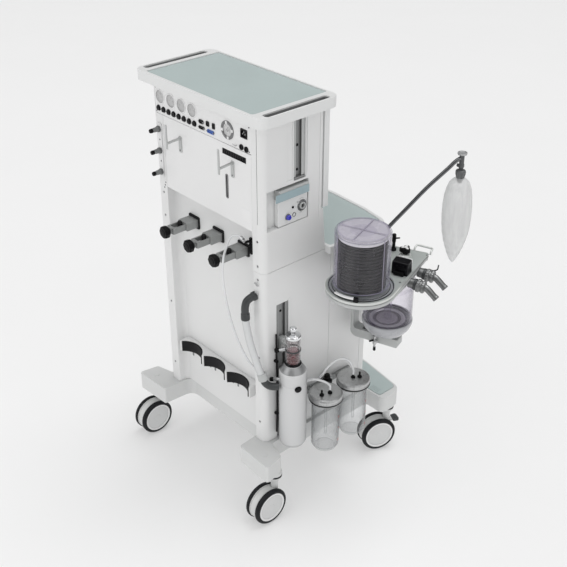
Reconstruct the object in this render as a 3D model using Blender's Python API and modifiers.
"""Anesthesia machine on a wheeled stand, with its breathing system, bellows, absorber,
suction jars and gas scavenging receiver.

Metres, +Z up, floor at z = 0. Parts are laid out with the body centred on x = 0. The operator
stands on the -Y side, so left is -X; the rear, with the cylinder yokes, faces +Y, and the
breathing system hangs on the left. A last empty shifts it all to centre the footprint.
"""

import math

import bmesh
import bpy
from mathutils import Matrix, Vector

# ---------------------------------------------------------------- driving dimensions
GAP = 0.0004  # clearance between neighbouring pieces
SINK = 0.002  # how far pieces joined to the circuit plate run into it
HALF_W = 0.249  # half the body width
SIDE = HALF_W + GAP  # where parts hung on a side of the body begin
COLUMN_IN = 0.204  # inner edge of a rear column
Y_REAR = 0.113  # rear face of the columns
Y_RECESS = 0.075  # recessed rear panel behind the cylinders
Y_TOWER_FRONT = -0.122
Y_FASCIA = -0.1420
Y_BODY_FRONT = -0.334
Y_PANEL = 0.1068  # front of the upper cover and connector panel
Y_FITTING = 0.1100  # where the fittings of the connector panel are rooted
Z_BASE_LO, Z_BASE_HI = 0.178, 0.240
Z_BODY_LO, Z_BODY_HI = Z_BASE_HI + GAP, 0.8580
Z_WORKTOP_LO, Z_WORKTOP_HI = 0.8460, 0.8720
Z_TOWER_LO, Z_TOWER_HI = Z_BODY_HI + GAP, 1.3210
Z_TRAY_LO, Z_TRAY_HI = 1.3215, 1.3530
Z_COVER_LO, Z_COVER_HI = 0.9850, 1.2195
WHEEL_R = 0.0625
TRAIL = 0.036  # from a caster's swivel axis to its axle
YOKE_X = (0.12, 0.0, -0.12)
YOKE_Z = 0.885
CRADLE_R = 0.0700  # cylinder bracket scallops
AGSS_X, AGSS_Y = -0.3055, 0.046  # scavenging receiver axis
AGSS_TUBE_TOP = 0.6450
JAR_Z_LO, JAR_Z_LID, JAR_Z_HI = 0.185, 0.378, 0.400
VAPORIZER_X, VAPORIZER_Y, VAPORIZER_TOP = -0.060, -0.2000, 1.0400
DRAWER_MARGIN = 0.002  # opening beyond the drawer front, above and below
DRAWERS = (("drawer_upper", 0.6540, 0.7960), ("drawer_lower", 0.4920, 0.6420))

# Breathing system. Places below its position are in the circuit's own turned frame.
CIRCUIT_X, CIRCUIT_Y = -0.422, -0.115  # bellows axis
CIRCUIT_TURN_DEG = 18.5
CIRCUIT_TURN = math.radians(CIRCUIT_TURN_DEG)
Z_PLATE_LO, Z_PLATE_HI = 0.793, 0.815
Z_ON_PLATE = Z_PLATE_HI + GAP
Z_MANIFOLD = 0.7650
PIVOT_X, PIVOT_Y = 0.070, -0.235  # swing axis
POST_X, POST_Y = 0.040, -0.250  # bag arm post
CANISTER_X, CANISTER_Y = -0.020, -0.165
APL_X, APL_Y, APL_H = -0.042, -0.224, 0.0100
CAM_X, CAM_Y, CAM_H = 0.045, -0.165, 0.0120

# Rotations that point a turned piece's own +Z outwards
FACE_FRONT = (math.pi / 2, 0, 0)
FACE_REAR = (-math.pi / 2, 0, 0)
FACE_LEFT = (0, -math.pi / 2, 0)

for old in list(bpy.data.objects):
    bpy.data.objects.remove(old, do_unlink=True)

PARTS = bpy.data.collections.new("anesthesia_machine")
CUTS = bpy.data.collections.new("cutters")
bpy.context.scene.collection.children.link(PARTS)
bpy.context.scene.collection.children.link(CUTS)


# ---------------------------------------------------------------- materials
def material(name, color, roughness, metallic=0.0, alpha=1.0):
    mat = bpy.data.materials.new(name)
    mat.use_nodes = True
    inputs = mat.node_tree.nodes["Principled BSDF"].inputs
    inputs["Base Color"].default_value = (*color, 1)
    inputs["Roughness"].default_value = roughness
    inputs["Metallic"].default_value = metallic
    inputs["Alpha"].default_value = alpha
    return mat


WHITE = material("white_shell", color=(0.80, 0.80, 0.80), roughness=0.4)
PAINT = material("white_paint", color=(0.72, 0.72, 0.72), roughness=0.45)
TEAL = material("teal_mat", color=(0.43, 0.51, 0.51), roughness=0.7)
BLACK = material("black_plastic", color=(0.02, 0.02, 0.022), roughness=0.45)
GREY = material("grey_casting", color=(0.38, 0.39, 0.38), roughness=0.4, metallic=0.3)
STEEL = material("bright_metal", color=(0.62, 0.64, 0.63), roughness=0.25, metallic=1.0)
CLEAR = material("clear_plastic", color=(0.86, 0.85, 0.90), roughness=0.1, alpha=0.3)
GLASS = material("jar_glass", color=(0.92, 0.93, 0.94), roughness=0.05, alpha=0.3)
RUBBER = material("black_rubber", color=(0.03, 0.03, 0.033), roughness=0.8)
BAG = material("bag_silicone", color=(0.86, 0.86, 0.87), roughness=0.5)
RED = material("red_float", color=(0.25, 0.01, 0.015), roughness=0.35)
BLUE = material("blue_knob", color=(0.06, 0.06, 0.45), roughness=0.35)
HOSE = material("hose_grey", color=(0.62, 0.63, 0.64), roughness=0.45)


# ---------------------------------------------------------------- objects and booleans
def empty(name, at, turn=0.0):
    obj = bpy.data.objects.new(name, None)
    obj.location = at
    obj.rotation_euler = (0, 0, turn)
    PARTS.objects.link(obj)
    return obj


def add(name, mesh, mat, at=(0, 0, 0), turn=(0, 0, 0), parent=None):
    obj = bpy.data.objects.new(name, mesh)
    mesh.materials.append(mat)
    obj.location = at
    obj.rotation_euler = turn
    obj.parent = parent
    PARTS.objects.link(obj)
    return obj


def set_origin(obj, at):
    """Moves an unrotated object's origin to a point of its parent's frame."""
    at = Vector(at)
    obj.data.transform(Matrix.Translation(Vector(obj.location) - at))
    obj.location = at


def boolean(obj, helpers, operation):
    """Applies each helper to the object in turn and hides it among the cutters."""
    for helper in helpers:
        modifier = obj.modifiers.new(operation.lower(), "BOOLEAN")
        modifier.operation = operation
        modifier.object = helper
        PARTS.objects.unlink(helper)
        CUTS.objects.link(helper)
        helper.hide_render = True
        helper.display_type = "WIRE"


def cut(obj, *helpers):
    boolean(obj, helpers, "DIFFERENCE")


def join(obj, *helpers):
    boolean(obj, helpers, "UNION")


# ---------------------------------------------------------------- solids
def bmesh_to_mesh(name, bm):
    mesh = bpy.data.meshes.new(name)
    bm.to_mesh(mesh)
    bm.free()
    return mesh


def smooth(mesh):
    mesh.shade_smooth()
    mesh.set_sharp_from_angle(angle=math.radians(35))


def box(name, low, high, mat=WHITE, parent=None):
    low, high = Vector(low), Vector(high)
    bm = bmesh.new()
    bmesh.ops.create_cube(bm, size=1.0)
    bmesh.ops.scale(bm, vec=high - low, verts=bm.verts)
    return add(name, bmesh_to_mesh(name, bm), mat, (low + high) / 2, parent=parent)


def boxes(*rows, parent=None):
    """White boxes from rows of name, low corner, high corner."""
    return [box(name, low, high, parent=parent) for name, low, high in rows]


def rod(name, start, end, radius, sides=16, end_radius=None, mat=STEEL, parent=None):
    """A cylinder or a cone between two points."""
    start, end = Vector(start), Vector(end)
    axis = end - start
    bm = bmesh.new()
    bmesh.ops.create_cone(
        bm, cap_ends=True, segments=sides, radius1=radius,
        radius2=radius if end_radius is None else end_radius, depth=axis.length,
    )
    mesh = bmesh_to_mesh(name, bm)
    smooth(mesh)
    turn = axis.to_track_quat("Z", "Y").to_euler()
    return add(name, mesh, mat, (start + end) / 2, turn, parent)


def turned(name, profile, mat, at=(0, 0, 0), turn=(0, 0, 0), steps=24, parent=None):
    """A solid of revolution about its own Z axis. The profile is (radius, height) pairs from
    top to bottom down the outer side; one that starts off the axis is closed into a ring."""
    bm = bmesh.new()
    verts = [bm.verts.new((radius, 0, z)) for radius, z in profile]
    for pair in zip(verts, verts[1:]):
        bm.edges.new(pair)
    if profile[0][0] > 0:
        bm.edges.new((verts[-1], verts[0]))
    obj = add(name, bmesh_to_mesh(name, bm), mat, at, turn, parent)
    screw = obj.modifiers.new("turn", "SCREW")
    screw.steps = screw.render_steps = steps
    screw.use_merge_vertices = True
    screw.merge_threshold = 0.00001
    screw.use_smooth_shade = True
    return obj


def add_spline(curve, points):
    spline = curve.splines.new("POLY")
    spline.points.add(len(points) - 1)
    for target, point in zip(spline.points, points):
        target.co = (*point, 1)
    return spline


def curve_mesh(name, curve):
    """The closed mesh of a curve, its caps welded on."""
    temp = bpy.data.objects.new(name + "_curve", curve)
    PARTS.objects.link(temp)
    bpy.context.view_layer.update()
    depsgraph = bpy.context.evaluated_depsgraph_get()
    mesh = bpy.data.meshes.new_from_object(temp.evaluated_get(depsgraph))
    bpy.data.objects.remove(temp)
    mesh.name = name
    mesh.materials.clear()
    bm = bmesh.new()
    bm.from_mesh(mesh)
    bmesh.ops.remove_doubles(bm, verts=bm.verts, dist=0.00002)
    bmesh.ops.recalc_face_normals(bm, faces=bm.faces)
    bm.to_mesh(mesh)
    bm.free()
    return mesh


def prism(name, loops, low, high, mat=WHITE, parent=None, along_x=False):
    """Flat (x, y) outlines extruded from low to high in Z, or (y, z) outlines along X."""
    curve = bpy.data.curves.new(name, "CURVE")
    curve.dimensions = "2D"
    curve.fill_mode = "BOTH"
    curve.extrude = (high - low) / 2
    for points in loops:
        add_spline(curve, [(x, y, 0) for x, y in points]).use_cyclic_u = True
    mesh = curve_mesh(name, curve)
    middle = (low + high) / 2
    if along_x:
        mesh.transform(Matrix(((0, 0, 1, 0), (1, 0, 0, 0), (0, 1, 0, 0), (0, 0, 0, 1))))
    return add(name, mesh, mat, (middle, 0, 0) if along_x else (0, 0, middle), parent=parent)


def tube(name, points, radius, mat=STEEL, parent=None, resolution=2):
    curve = bpy.data.curves.new(name, "CURVE")
    curve.dimensions = "3D"
    curve.bevel_depth = radius
    curve.bevel_resolution = resolution
    curve.use_fill_caps = True
    add_spline(curve, points)
    mesh = curve_mesh(name, curve)
    mesh.shade_smooth()
    return add(name, mesh, mat, parent=parent)


# ---------------------------------------------------------------- outlines
def rounded(points, segments=3):
    """A closed outline with its corners rounded: points are (x, y, radius), in order."""
    out = []
    for i, (x, y, radius) in enumerate(points):
        if radius <= 0:
            out.append((x, y))
            continue
        corner = Vector((x, y))
        to_last = (Vector(points[i - 1][:2]) - corner).normalized()
        to_next = (Vector(points[(i + 1) % len(points)][:2]) - corner).normalized()
        half = math.acos(max(-1, min(1, to_last.dot(to_next)))) / 2
        reach = radius / math.tan(half)
        centre = corner + (to_last + to_next).normalized() * (radius / math.sin(half))
        start = corner + to_last * reach - centre
        end = corner + to_next * reach - centre
        sweep = start.angle_signed(end)
        for k in range(segments + 1):
            angle = -sweep * k / segments
            cos, sin = math.cos(angle), math.sin(angle)
            out.append((centre.x + start.x * cos - start.y * sin,
                        centre.y + start.x * sin + start.y * cos))
    return out


def rect(x0, x1, y0, y1, radius, segments):
    corners = ((x0, y0), (x1, y0), (x1, y1), (x0, y1))
    return rounded([(x, y, radius) for x, y in corners], segments)


def arc(x, y, radius, start, end, segments):
    """Points along an arc about (x, y), angles in degrees."""
    angles = [math.radians(start + (end - start) * k / segments) for k in range(segments + 1)]
    return [(x + radius * math.cos(a), y + radius * math.sin(a)) for a in angles]


# ---------------------------------------------------------------- base
# x, y, corner radius: the right half, from the middle of the front edge round to the rear
BASE_RIGHT = [
    (0.0, -0.466, 0), (0.15, -0.459, 0.2), (0.335, -0.428, 0.032), (0.342, -0.338, 0.022),
    (0.262, -0.338, 0.012), (0.262, 0.098, 0.010), (0.331, 0.116, 0.010),
    (0.344, 0.187, 0.010), (0.202, 0.180, 0.008), (0.195, 0.066, 0.030),
]
base_left = [(-x, y, radius) for x, y, radius in reversed(BASE_RIGHT[1:])]
base = prism("base_frame", [rounded(BASE_RIGHT + base_left)], Z_BASE_LO, Z_BASE_HI)
cut(base, box("base_underside", (-0.235, -0.31, 0.170), (0.235, 0.045, 0.226)))

# ---------------------------------------------------------------- lower body, rear columns
body_outline = rounded([
    (-HALF_W, Y_BODY_FRONT, 0.012), (HALF_W, Y_BODY_FRONT, 0.012),
    (HALF_W, Y_REAR, 0.012), (COLUMN_IN, Y_REAR, 0.003),
    (COLUMN_IN, Y_RECESS, 0.018), (-COLUMN_IN, Y_RECESS, 0.018),
    (-COLUMN_IN, Y_REAR, 0.003), (-HALF_W, Y_REAR, 0.022),
])
body = prism("lower_body", [body_outline], Z_BODY_LO, Z_BODY_HI)
cut(body, *boxes(
    ("cut_under_worktop", (-0.3, -0.4, Z_WORKTOP_LO - GAP), (0.3, -0.1352, 0.9)),
    *[(f"cut_{name}", (-0.205, -0.40, low - DRAWER_MARGIN), (0.205, -0.06, high + DRAWER_MARGIN))
      for name, low, high in DRAWERS],
    ("cut_lower_rail", (-0.26, 0.0145, 0.20), (-0.236, 0.0625, 0.738)),
    ("cut_inside_low", (-0.225, -0.3150, 0.20), (0.225, 0.0560, 0.4700)),
    ("cut_inside_rear", (-0.2245, -0.0500, 0.19), (0.2245, 0.0665, 0.8390)),
    ("cut_inside_left", (-0.2430, -0.3220, 0.18), (-0.2130, -0.0700, 0.8385)),
    ("cut_inside_right", (0.2130, -0.3220, 0.18), (0.2430, -0.0700, 0.8385)),
    ("cut_column_left", (-0.2405, 0.0670, 0.17), (-0.2125, 0.1040, 0.8380)),
    ("cut_column_right", (0.2125, 0.0670, 0.17), (0.2405, 0.1040, 0.8380)),
))

# ---------------------------------------------------------------- tower
tower_outline = rounded([
    (-HALF_W, Y_TOWER_FRONT, 0.010), (HALF_W, Y_TOWER_FRONT, 0.010),
    (HALF_W, Y_REAR, 0.012), (-HALF_W, Y_REAR, 0.022),
])
# y, z: the wedge that widens the foot of the tower's front
FLARE = [(-0.1345, Z_TOWER_LO), (-0.1225, 1.0), (-0.110, 1.0), (-0.110, Z_TOWER_LO)]
recess_outline = rounded([
    (-COLUMN_IN, Y_RECESS, 0.018), (COLUMN_IN, Y_RECESS, 0.018),
    (COLUMN_IN, 0.13, 0), (-COLUMN_IN, 0.13, 0),
])
tower = prism("tower_body", [tower_outline], Z_TOWER_LO, Z_TOWER_HI)
join(tower, prism("tower_flare", [FLARE], -HALF_W + 0.0002, HALF_W - 0.0002, along_x=True))
cut(tower, prism("cut_rear_recess", [recess_outline], 0.80, Z_COVER_LO - GAP), *boxes(
    ("cut_cover_seat", (-COLUMN_IN - 0.0003, 0.1064, 0.980), (COLUMN_IN + 0.0003, 0.14, 1.230)),
    ("cut_panel_seat", (-COLUMN_IN - 0.0006, 0.1062, Z_COVER_HI + 0.0002), (0.2408, 0.15, 1.340)),
    ("cut_rail_panel", (-0.26, -0.056, 1.128), (-0.2470, 0.022, 1.35)),
    ("cut_rail_channel", (-0.26, -0.050, 1.122), (-0.2340, -0.005, 1.35)),
    ("cut_module_pocket", (-0.26, -0.062, 0.992), (-0.2290, 0.096, 1.116)),
    ("cut_tower_inside", (-0.2210, -0.1150, 0.80), (0.2210, 0.0670, 1.3110)),
    ("cut_tower_rear", (-0.1960, 0.0500, 0.992), (0.1960, 0.1020, 1.3100)),
))

# ---------------------------------------------------------------- upper rear cover with hooks
cover = box("upper_rear_cover", (-COLUMN_IN + GAP, Y_PANEL, Z_COVER_LO),
            (COLUMN_IN - GAP, 0.1128, Z_COVER_HI))
cut(cover, box("cut_cable_slot", (-0.098, 0.09, 1.056), (-0.092, 0.12, 1.124)))
for i, x in enumerate((0.121, -0.123)):
    join(cover, *boxes(
        (f"hook_plate_{i}", (x - 0.006, 0.1120, 1.128), (x + 0.006, 0.1152, 1.176)),
        (f"hook_arm_{i}", (x - 0.003, 0.1140, 1.164), (x + 0.003, 0.1640, 1.170)),
        (f"hook_end_{i}", (x - 0.003, 0.1600, 1.150), (x + 0.003, 0.1650, 1.228)),
    ))


# ---------------------------------------------------------------- connector panel and inlets
def rear_stub(name, x, z, y_start, y_end, radius, sides):
    """A rod that runs straight to the rear."""
    return rod(name, (x, y_start, z), (x, y_end, z), radius, sides)


panel = box("connector_panel", (-COLUMN_IN + GAP, Y_PANEL, Z_COVER_HI + 0.0006),
            (0.2404, 0.1118, Z_TOWER_HI - 0.0005), PAINT)
for i, x in enumerate((0.214, 0.161, 0.110, 0.059)):
    join(panel, rear_stub(f"socket_{i}", x, 1.275, Y_FITTING, 0.1150, 0.0205, 20))
FUSE_FIRST_X, FUSE_PITCH = 0.223, 0.0250
for i in range(8):
    x = FUSE_FIRST_X - i * FUSE_PITCH
    join(panel, rear_stub(f"fuse_{i}", x, 1.238, Y_FITTING, 0.1165, 0.0078, 10))
join(
    panel,
    rear_stub("fan_ring", -0.103, 1.263, Y_FITTING, 0.1140, 0.0275, 20),
    box("mains_inlet", (-0.189, Y_FITTING, 1.258), (-0.161, 0.1150, 1.292)),
    box("signal_port", (-0.042, Y_FITTING, 1.228), (-0.014, 0.1145, 1.242)),
)

INLET_X = 0.223
inlets = box("pipeline_inlets", (INLET_X - 0.010, Y_REAR + GAP, 1.012),
             (INLET_X + 0.010, 0.1160, 1.192), PAINT)
for i, z in enumerate((1.172, 1.102, 1.032)):
    join(
        inlets,
        rear_stub(f"inlet_body_{i}", INLET_X, z, 0.1150, 0.1290, 0.0100, 12),
        rear_stub(f"inlet_nipple_{i}", INLET_X, z, 0.1280, 0.1510, 0.0070, 12),
    )

# ---------------------------------------------------------------- cylinder yokes, T-screws
YOKE_KNOB = [
    (0, 0.0200), (0.0165, 0.0200), (0.0205, 0.0165), (0.0205, 0.0030),
    (0.0150, 0.0), (0.0048, 0.0), (0.0048, -0.0340), (0, -0.0340),
]


def yoke(i, x):
    def block(name, x_low, x_high, y_low, y_high, half_height, mat=WHITE):
        return box(name, (x + x_low, y_low, YOKE_Z - half_height),
                   (x + x_high, y_high, YOKE_Z + half_height), mat)

    plate = block(f"yoke_{i + 1}", -0.026, 0.026, Y_RECESS + GAP, Y_RECESS + 0.0050, 0.021, GREY)
    join(
        plate,
        block(f"yoke_block_{i}", -0.0215, 0.0215, 0.0790, 0.1240, 0.0135),
        block(f"yoke_cheek_a_{i}", 0.0125, 0.0175, 0.1230, 0.1700, 0.0100),
        block(f"yoke_cheek_b_{i}", -0.0175, -0.0125, 0.1230, 0.1700, 0.0100),
        block(f"yoke_bar_{i}", -0.0170, 0.0170, 0.1610, 0.1715, 0.0100),
        rod(f"yoke_plug_{i}", (x, 0.1335, YOKE_Z - 0.0120), (x, 0.1335, YOKE_Z + 0.0190),
            0.0075, 12),
        block(f"yoke_seat_{i}", -0.0040, 0.0040, 0.1200, 0.1300, 0.0060),
    )
    cut(plate, rear_stub(f"yoke_bore_{i}", x, YOKE_Z, 0.1560, 0.1800, 0.0054, 16))
    turned(f"yoke_knob_{i + 1}", YOKE_KNOB, BLACK, (x, 0.1800, YOKE_Z), FACE_REAR, 16)


for i, x in enumerate(YOKE_X):
    yoke(i, x)

# ---------------------------------------------------------------- cylinder bracket
BRACKET_HALF_W = 0.182
bracket_outline = [(BRACKET_HALF_W, Y_RECESS + GAP), (BRACKET_HALF_W, 0.1180)]
for x in YOKE_X:
    bracket_outline += arc(x, 0.158, CRADLE_R, -35.0, -145.0, 8)
bracket_outline += [(-BRACKET_HALF_W, 0.1180), (-BRACKET_HALF_W, Y_RECESS + GAP)]
prism("cylinder_bracket", [bracket_outline], 0.3850, 0.4240, PAINT)

# ---------------------------------------------------------------- top tray
CUT_TOP = 1.40  # clear above the tray
tray_outline = rect(-0.288, 0.288, -0.142, 0.148, 0.028, 4)
mat_seat = rect(-0.2415, 0.2415, -0.137, 0.137, 0.008, 2)
right_slot = rect(0.2585, 0.2820, -0.112, 0.122, 0.009, 3)
left_slot = rect(-0.2820, -0.2585, -0.112, 0.122, 0.009, 3)
tray = prism("top_tray", [tray_outline], Z_TRAY_LO, Z_TRAY_HI)
cut(
    tray,
    box("cut_tray_under", (-0.2350, -0.1100, 1.29), (0.2350, 0.1000, 1.3380)),
    prism("cut_tray_mat", [mat_seat], 1.3460, CUT_TOP),
    prism("cut_hand_slot_a", [right_slot], 1.3295, CUT_TOP),
    prism("cut_hand_slot_b", [left_slot], 1.3295, CUT_TOP),
)
prism("tray_mat", [rect(-0.2400, 0.2400, -0.1355, 0.1355, 0.007, 2)], 1.3463, 1.3500, TEAL)


# ---------------------------------------------------------------- worktop
def worktop_outline(inset, rear):
    side, corner_x, corner_y = 0.270 - inset, 0.264 - inset, -0.391 + inset * 0.8
    return rounded([
        (-side, rear, 0.006), (-corner_x, corner_y, 0.030), (-0.15, -0.411 + inset, 0),
        (0.0, -0.420 + inset, 0),
        (0.15, -0.411 + inset, 0), (corner_x, corner_y, 0.030), (side, rear, 0.006),
    ], 4)


worktop = prism("worktop", [worktop_outline(0, -0.1356)], Z_WORKTOP_LO, Z_WORKTOP_HI)
cut(worktop, prism("cut_worktop_mat", [worktop_outline(0.012, -0.1470)], 0.8655, 0.90))
prism("worktop_mat", [worktop_outline(0.0128, -0.1478)], 0.8659, 0.8692, TEAL)

# ---------------------------------------------------------------- outlet module, left side
module = box("outlet_module", (-HALF_W, -0.0580, 0.9940), (-0.2294, 0.0530, 1.1060), PAINT)
join(
    module,
    box("module_lid", (-0.2560, -0.0580, 1.0760), (-0.2480, 0.0530, 1.1020)),
    rod("module_port", (-0.2480, -0.030, 1.045), (-0.2560, -0.030, 1.045), 0.0110),
)
OUTLET_KNOB = [(0, 0.0090), (0.0068, 0.0090), (0.0080, 0.0075), (0.0080, 0), (0, 0)]
turned("outlet_knob", OUTLET_KNOB, BLUE, (-SIDE, 0.0180, 1.0170), FACE_LEFT, 16)

# ---------------------------------------------------------------- gas scavenging receiver
AGSS_BODY = [
    (0, 0.5565), (0.0255, 0.5565), (0.0255, 0.5520), (0.0433, 0.5270),
    (0.0433, 0.2600), (0.0360, 0.2500), (0, 0.2500),
]
AGSS_SIGHT = [(0.0225, AGSS_TUBE_TOP), (0.0225, 0.5570), (0.0198, 0.5570), (0.0198, AGSS_TUBE_TOP)]
AGSS_FLOAT = [(0, 0.0150), (0.0100, 0.0150), (0.0160, 0.0080), (0.0160, 0), (0, 0)]
AGSS_KNOB = [
    (0, 0.0360), (0.0095, 0.0360), (0.0105, 0.0330), (0.0105, 0.0250), (0.0060, 0.0220),
    (0.0060, 0.0140), (0.0240, 0.0100), (0.0240, 0), (0, 0),
]


def plug_point(distance):
    """A point on the axis of the plug, which leaves the receiver to the left and rear."""
    return (AGSS_X - 0.933 * distance, AGSS_Y + 0.358 * distance, 0.482)


agss = turned("agss_body", AGSS_BODY, PAINT, (AGSS_X, AGSS_Y, 0))
join(
    agss,
    box("agss_saddle", (-0.2710, 0.0250, 0.4600), (-SIDE, 0.0520, 0.4900)),
    box("agss_saddle_low", (-0.2710, 0.0250, 0.3000), (-SIDE, 0.0520, 0.3200)),
    rod("agss_plug", plug_point(0.038), plug_point(0.049), 0.0105, 12),
)
turned("agss_sight_tube", AGSS_SIGHT, CLEAR, (AGSS_X, AGSS_Y, 0), steps=20)
turned("agss_float", AGSS_FLOAT, RED, (AGSS_X, AGSS_Y, 0.5575), steps=16)
turned("agss_valve_knob", AGSS_KNOB, STEEL, (AGSS_X, AGSS_Y, AGSS_TUBE_TOP + GAP), steps=16)

# ---------------------------------------------------------------- suction jars
# jar x, y, then the places of its two lid ports from the jar axis
JARS = (
    (-0.330, -0.074, ((-0.006, 0.024), (-0.014, -0.004))),
    (-0.330, -0.198, ((-0.004, 0.006), (-0.016, -0.012))),
)
JAR = [
    (0.0450, JAR_Z_LID - GAP), (0.0450, JAR_Z_LO + 0.010), (0.0380, JAR_Z_LO),
    (0.0030, JAR_Z_LO), (0.0030, JAR_Z_LO + 0.004), (0.0370, JAR_Z_LO + 0.004),
    (0.0420, JAR_Z_LO + 0.012), (0.0420, JAR_Z_LID - GAP),
]
JAR_LID = [
    (0, JAR_Z_HI), (0.0530, JAR_Z_HI), (0.0545, JAR_Z_HI - 0.003), (0.0545, JAR_Z_LID),
    (0, JAR_Z_LID),
]
JAR_RING = [(0.0535, 0.3774), (0.0535, 0.3715), (0.0465, 0.3715), (0.0465, 0.3774)]

holder = box("jar_bracket", (-0.2600, -0.2550, 0.3560), (-SIDE, -0.0170, 0.3760), GREY)
for i, (jar_x, jar_y, ports) in enumerate(JARS):
    turned(f"suction_jar_{i + 1}", JAR, GLASS, (jar_x, jar_y, 0), steps=20)
    lid = turned(f"suction_lid_{i + 1}", JAR_LID, STEEL, (jar_x, jar_y, 0))
    for k, (port_x, port_y) in enumerate(ports):
        x, y = jar_x + port_x, jar_y + port_y
        join(lid, rod(f"jar_port_{i}_{k}", (x, y, JAR_Z_HI - 0.004), (x, y, JAR_Z_HI + 0.020),
                      0.0045, 8))
    join(
        holder,
        box(f"jar_ring_arm_{i}", (-0.2810, jar_y - 0.012, 0.3718), (-0.2580, jar_y + 0.012, 0.3758)),
        turned(f"jar_ring_{i}", JAR_RING, GREY, (jar_x, jar_y, 0)),
    )

# ---------------------------------------------------------------- scavenging hose
# x, y, z from the left rear column down to the receiver's plug
HOSE_PATH = [
    (-0.2260, 0.1220, 0.7600), (-0.2160, 0.1370, 0.7530), (-0.2090, 0.1480, 0.7350),
    (-0.2110, 0.1500, 0.7050), (-0.2250, 0.1480, 0.6400), (-0.2440, 0.1420, 0.5750),
    (-0.2600, 0.1340, 0.5280), (-0.2700, 0.1250, 0.4990), (-0.2820, 0.1130, 0.4840),
    (-0.2900, 0.0990, 0.4800), (-0.2950, 0.0910, 0.4800),
]
tube("scavenging_hose", HOSE_PATH, 0.0110, HOSE)

# ---------------------------------------------------------------- circuit arm on the body
cos, sin = math.cos(CIRCUIT_TURN), math.sin(CIRCUIT_TURN)
pivot_x = CIRCUIT_X + PIVOT_X * cos - PIVOT_Y * sin
pivot_y = CIRCUIT_Y + PIVOT_X * sin + PIVOT_Y * cos
arm = box("circuit_arm", (-0.2860, pivot_y - 0.0170, 0.7050), (-SIDE, pivot_y + 0.0170, 0.7500))
join(
    arm,
    box("circuit_arm_plate", (-0.2560, pivot_y - 0.0165, 0.6750), (-SIDE, pivot_y + 0.0300, 0.7600)),
    rod("circuit_arm_boss", (pivot_x, pivot_y, 0.7000), (pivot_x, pivot_y, 0.7630), 0.0185, 20),
)

# ---------------------------------------------------------------- circuit block
circuit = empty("circuit_frame", (CIRCUIT_X, CIRCUIT_Y, 0), CIRCUIT_TURN)
plate_outline = rounded([(-0.1065, -0.265, 0.014), (0.074, -0.265, 0.010), (0.098, -0.060, 0.0)])
plate_outline += arc(0, 0, 0.105, 8.0, 180.0, 18)
block = prism("circuit_block", [plate_outline], Z_PLATE_LO, Z_PLATE_HI, GREY, circuit)
join(block, *boxes(
    ("manifold", (-0.0880, -0.2480, Z_MANIFOLD), (0.0800, -0.0850, Z_PLATE_LO + SINK)),
    ("manifold_boss", (0.0500, -0.2560, Z_MANIFOLD), (0.0860, -0.2140, Z_PLATE_LO + SINK)),
    parent=circuit,
))

# name, start x, z, end x, z, radius, sides: one hose port, pointing to -X
PORT_RODS = (
    ("port_ring", -0.0800, 0.7830, -0.1260, 0.7800, 0.0125, 16),
    ("port_flange", -0.1160, 0.7806, -0.1280, 0.7798, 0.0190, 16),
    ("port_tube", -0.1240, 0.7800, -0.1900, 0.7580, 0.0100, 14),
)
for i, y in enumerate((-0.207, -0.136)):
    for name, x0, z0, x1, z1, radius, sides in PORT_RODS:
        join(block, rod(f"{name}_{i}", (x0, y, z0), (x1, y, z1), radius, sides, parent=circuit))

RAIL_LOW, RAIL_MID, RAIL_HIGH = Z_PLATE_HI - 0.003, Z_PLATE_HI + 0.007, Z_PLATE_HI + 0.010
HOSE_RAIL = [
    (-0.045, -0.258, RAIL_LOW), (-0.045, -0.262, RAIL_MID), (-0.047, -0.276, RAIL_HIGH),
    (-0.097, -0.276, RAIL_HIGH), (-0.099, -0.262, RAIL_MID), (-0.099, -0.256, RAIL_LOW),
]
join(
    block,
    box("gauge_body", (-0.0980, -0.1480, Z_PLATE_HI - SINK), (-0.0460, -0.1100, Z_PLATE_HI + 0.0500),
        parent=circuit),
    rod("cam_post", (CAM_X, CAM_Y, Z_PLATE_HI - SINK), (CAM_X, CAM_Y, Z_PLATE_HI + CAM_H),
        0.0150, parent=circuit),
    rod("apl_body", (APL_X, APL_Y, Z_PLATE_HI - SINK), (APL_X, APL_Y, Z_PLATE_HI + APL_H),
        0.0170, parent=circuit),
    tube("hose_rail", HOSE_RAIL, 0.0022, parent=circuit, resolution=1),
)

# ---------------------------------------------------------------- bellows under its dome
DOME = [
    (0, 0.9990), (0.0770, 0.9990), (0.0820, 0.9950), (0.0820, Z_ON_PLATE + 0.0080),
    (0.0970, Z_ON_PLATE + 0.0070), (0.0970, Z_ON_PLATE), (0.0785, Z_ON_PLATE),
    (0.0785, 0.9935), (0.0740, 0.9960), (0, 0.9960),
]
turned("bellows_dome", DOME, CLEAR, steps=28, parent=circuit)

PLEATS = 7
PLEAT_IN, PLEAT_OUT = 0.0640, 0.0720  # valley and ridge radii
Z_BELLOWS_LO, Z_BELLOWS_HI = Z_ON_PLATE + 0.0010, 0.9760
valleys = [Z_BELLOWS_HI - (Z_BELLOWS_HI - Z_BELLOWS_LO) * k / PLEATS for k in range(PLEATS + 1)]
bellows = [(0, Z_BELLOWS_HI), (PLEAT_IN, Z_BELLOWS_HI)]
for upper, lower in zip(valleys, valleys[1:]):
    bellows += [(PLEAT_OUT, (upper + lower) / 2), (PLEAT_IN, lower)]
bellows += [(0, Z_BELLOWS_LO)]
turned("bellows", bellows, RUBBER, steps=20, parent=circuit)

BELLOWS_DISC = [(0, 0.0160), (0.0690, 0.0160), (0.0730, 0.0130), (0.0730, 0.0), (0, 0.0)]
turned("bellows_disc", BELLOWS_DISC, WHITE, (0, 0, Z_BELLOWS_HI + GAP), parent=circuit)

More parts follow.
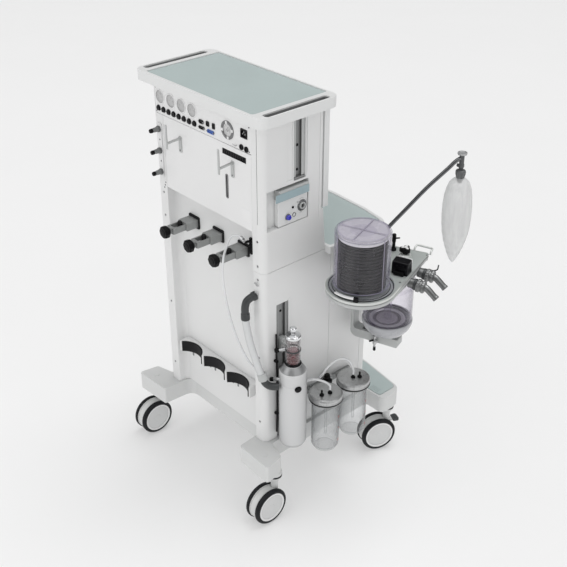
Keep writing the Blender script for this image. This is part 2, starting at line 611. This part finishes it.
# ---------------------------------------------------------------- bag arm
ARM_HEADING = math.radians(65.0 - CIRCUIT_TURN_DEG)  # from the circuit's -X towards its -Y
ARM_RISE, ARM_REACH = 0.214, 0.224
Z_BEND = 0.870  # where the post bends into the slope
Z_ARM_TOP = Z_BEND + ARM_RISE


def arm_point(distance, z):
    """A point over the arm's line, at a horizontal distance from the post."""
    return (POST_X - math.cos(ARM_HEADING) * distance, POST_Y - math.sin(ARM_HEADING) * distance, z)


arm_path = [
    arm_point(0, Z_ON_PLATE + 0.002), arm_point(0, Z_BEND - 0.012),
    arm_point(0.006, Z_BEND + 0.004), arm_point(0.020, Z_BEND + 0.022),
    arm_point(ARM_REACH - 0.020, Z_ARM_TOP - 0.020), arm_point(ARM_REACH, Z_ARM_TOP - 0.006),
    arm_point(ARM_REACH + 0.016, Z_ARM_TOP),
]
tip = Vector(arm_path[-1])
bag_arm = tube("bag_arm", arm_path, 0.0075, parent=circuit)
join(bag_arm, rod("bag_arm_collar", arm_point(0, Z_ON_PLATE), arm_point(0, Z_ON_PLATE + 0.022),
                  0.0150, parent=circuit))
# name, start and end heights from the tip, radius, sides, end radius
TIP_RODS = (
    ("bag_tee", 0.0140, -0.0420, 0.0110, 16, None),
    ("bag_neck", -0.0400, -0.0620, 0.0080, 12, 0.0125),
    ("bag_cap", 0.0130, 0.0190, 0.0150, 16, None),
)
for name, start, end, radius, sides, end_radius in TIP_RODS:
    join(bag_arm, rod(name, tip + Vector((0, 0, start)), tip + Vector((0, 0, end)), radius, sides,
                      end_radius, parent=circuit))
set_origin(bag_arm, arm_point(0, Z_ON_PLATE))

# ---------------------------------------------------------------- breathing bag
BAG_STATIONS, BAG_LENGTH = 12, 0.3035
bag_top = tip.z - 0.0630
bag_profile = [(0, bag_top)]
for k in range(1, BAG_STATIONS):
    t = k / BAG_STATIONS
    # the 0.80 power puts the widest station above the middle, the 0.62 power fills out the ends
    radius = 0.0490 * (math.sin(math.pi * t ** 0.80) ** 0.62) + 0.0015
    bag_profile.append((radius, bag_top - BAG_LENGTH * t))
bag_profile.append((0, bag_top - BAG_LENGTH))
turned("breathing_bag", bag_profile, BAG, (tip.x, tip.y, 0), steps=18, parent=circuit)

# ---------------------------------------------------------------- knob and lever on the block
APL_KNOB = [
    (0, 0.0220), (0.0140, 0.0220), (0.0190, 0.0180), (0.0190, 0.0060), (0.0150, 0.0), (0, 0.0),
]
turned("apl_knob", APL_KNOB, BLACK, (APL_X, APL_Y, Z_PLATE_HI + APL_H + GAP), steps=16,
       parent=circuit)
lever = rod("bag_vent_lever", (CAM_X, CAM_Y, Z_PLATE_HI + CAM_H + GAP),
            (CAM_X, CAM_Y, Z_PLATE_HI + 0.0260), 0.0130, mat=BLACK, parent=circuit)
join(lever, box("lever_handle", (CAM_X - 0.005, -0.2000, Z_PLATE_HI + 0.0150),
                (CAM_X + 0.005, -0.1640, Z_PLATE_HI + 0.0230), parent=circuit))

# ---------------------------------------------------------------- absorber and its cradle
CANISTER = [
    (0, 0.7642), (0.0720, 0.7642), (0.0720, 0.6240), (0.0795, 0.6220), (0.0795, 0.6080),
    (0.0600, 0.5760), (0.0320, 0.5640), (0.0300, 0.5575), (0, 0.5575),
]
CANISTER_BORE = [
    (0, 0.80), (0.0690, 0.80), (0.0690, 0.6100), (0.0560, 0.5850), (0.0280, 0.5720), (0, 0.5700),
]
canister, bore = [
    turned(name, profile, CLEAR, (CANISTER_X, CANISTER_Y, 0), parent=circuit)
    for name, profile in (("absorber_canister", CANISTER), ("cut_canister", CANISTER_BORE))
]
cut(canister, bore)

cradle = box("canister_cradle", (-0.0670, -0.1850, 0.5270), (0.0970, -0.1450, 0.5570), GREY, circuit)
cut(cradle, box("cut_cradle_channel", (-0.0600, -0.1740, 0.5480), (0.0600, -0.1560, 0.60),
                parent=circuit))
join(cradle, box("cradle_leg", (0.0860, -0.1850, 0.5400), (0.0970, -0.1450, 0.7905),
                 parent=circuit))

# ---------------------------------------------------------------- casters
# x, y, heading in degrees, has a brake
CASTERS = (
    (-0.310, 0.128, 0.0, False), (0.310, 0.128, 0.0, False),
    (-0.305, -0.400, -22.0, True), (0.305, -0.400, 15.0, True),
)
# radius, distance from the middle plane: one tread of the twin wheel, and half its hub
TREAD = [
    (0, 0.0310), (0.0500, 0.0310), (0.0600, 0.0290), (WHEEL_R, 0.0250),
    (WHEEL_R, 0.0170), (0.0590, 0.0136), (0.0100, 0.0136),
]
WHEEL = TREAD + [(radius, -z) for radius, z in reversed(TREAD)]


def caster(i, x, y, heading, braked):
    rig = empty(f"caster_rig_{i}", (x, y, 0), math.radians(heading))
    hood = arc(TRAIL, WHEEL_R, 0.0570, -35.0, 190.0, 14)
    axle_hole = arc(TRAIL, WHEEL_R, 0.0108, 0, 330, 11)
    fork = prism(f"caster_fork_{i}", [hood, axle_hole], -0.0112, 0.0112, WHITE, rig, along_x=True)
    join(
        fork,
        rod(f"caster_stem_{i}", (0, 0, 0.0950), (0, 0, 0.1720), 0.0110, 12, parent=rig),
        rod(f"caster_flange_{i}", (0, 0, 0.1480), (0, 0, Z_BASE_LO - GAP), 0.0240, parent=rig),
    )
    set_origin(fork, (0, 0, WHEEL_R))
    smooth(fork.data)
    turned(f"caster_wheel_{i}", WHEEL, RUBBER, (0, TRAIL, WHEEL_R), (0, math.pi / 2, 0), parent=rig)
    if braked:
        join(fork, box(f"brake_lug_{i}", (-0.0080, -0.0210, 0.0960), (0.0080, 0.0080, 0.1060),
                       parent=rig))
        pedal = box(f"brake_pedal_{i - 2}", (-0.0160, -0.0450, 0.0970), (0.0160, -0.0230, 0.1050),
                    GREY, rig)
        set_origin(pedal, (0, -0.0250, 0.1010))


for i, row in enumerate(CASTERS, start=1):
    caster(i, *row)

# ---------------------------------------------------------------- drawers
for i, (name, low, high) in enumerate(DRAWERS):
    drawer = box(name, (-0.1980, -0.3330, low + 0.0060), (0.1980, -0.0680, high - 0.0060))
    join(drawer, *boxes(
        (f"drawer_front_{i}", (-0.2036, -0.3420, low), (0.2036, -0.3310, high)),
        (f"drawer_pull_{i}", (-0.0600, -0.3560, high - 0.0300), (0.0600, -0.3410, high - 0.0200)),
    ))
    cut(drawer, box(f"drawer_inside_{i}", (-0.1940, -0.3290, low + 0.0100),
                    (0.1940, -0.0720, high + 0.05)))

# ---------------------------------------------------------------- control fascia and its knobs
fascia = box("control_fascia", (-SIDE, Y_FASCIA, 1.0020), (SIDE, Y_TOWER_FRONT - GAP, Z_TOWER_HI))
cut(fascia, *boxes(
    ("screen_recess", (-0.1900, -0.2, 1.1050), (0.0750, Y_FASCIA + 0.0030, 1.2750)),
    ("flow_window", (0.1150, -0.2, 1.0500), (0.2200, Y_FASCIA + 0.0060, 1.2700)),
))
FLOW_KNOB = [(0, 0.0260), (0.0120, 0.0260), (0.0145, 0.0230), (0.0145, 0.0040), (0.0100, 0), (0, 0)]
DIAL = [(0, 0.0200), (0.0150, 0.0200), (0.0170, 0.0170), (0.0170, 0.0020), (0.0150, 0), (0, 0)]
SWITCH = [(0, 0.0180), (0.0100, 0.0180), (0.0120, 0.0150), (0.0120, 0), (0, 0)]
for name, profile, x, z in (
    ("flow_knob_1", FLOW_KNOB, 0.140, 1.0250),
    ("flow_knob_2", FLOW_KNOB, 0.195, 1.0250),
    ("control_dial", DIAL, 0.020, 1.0580),
    ("system_switch", SWITCH, 0.068, 1.0450),
):
    turned(name, profile, BLACK, (x, Y_FASCIA - GAP, z), FACE_FRONT, 16)

BUTTON = [(0, 0.0120), (0.0100, 0.0120), (0.0125, 0.0100), (0.0125, 0), (0, 0)]
turned("flush_button", BUTTON, PAINT, (-0.190, Y_BODY_FRONT - 0.0070, 0.8220), FACE_FRONT, 16)

# ---------------------------------------------------------------- vaporizer
VAPORIZER = [
    (0, VAPORIZER_TOP), (0.0420, VAPORIZER_TOP), (0.0460, 1.0360), (0.0460, 0.8900),
    (0.0420, 0.8860), (0, 0.8860),
]
VAPORIZER_DIAL = [(0, 0.0220), (0.0380, 0.0220), (0.0420, 0.0180), (0.0420, 0), (0, 0)]
vaporizer = turned("vaporizer", VAPORIZER, PAINT, (VAPORIZER_X, VAPORIZER_Y, 0), steps=20)
join(vaporizer, box("vaporizer_mount", (-0.1000, -0.1650, 0.9100), (-0.0200, -0.1352, 1.0000)))
turned("vaporizer_dial", VAPORIZER_DIAL, BLACK, (VAPORIZER_X, VAPORIZER_Y, VAPORIZER_TOP + GAP),
       steps=20)

# ---------------------------------------------------------------- footprint over the origin
centre = empty("machine_centre", (0.1110, 0.1900, 0))
for obj in list(bpy.data.objects):
    if obj.parent is None and obj != centre:
        obj.parent = centre
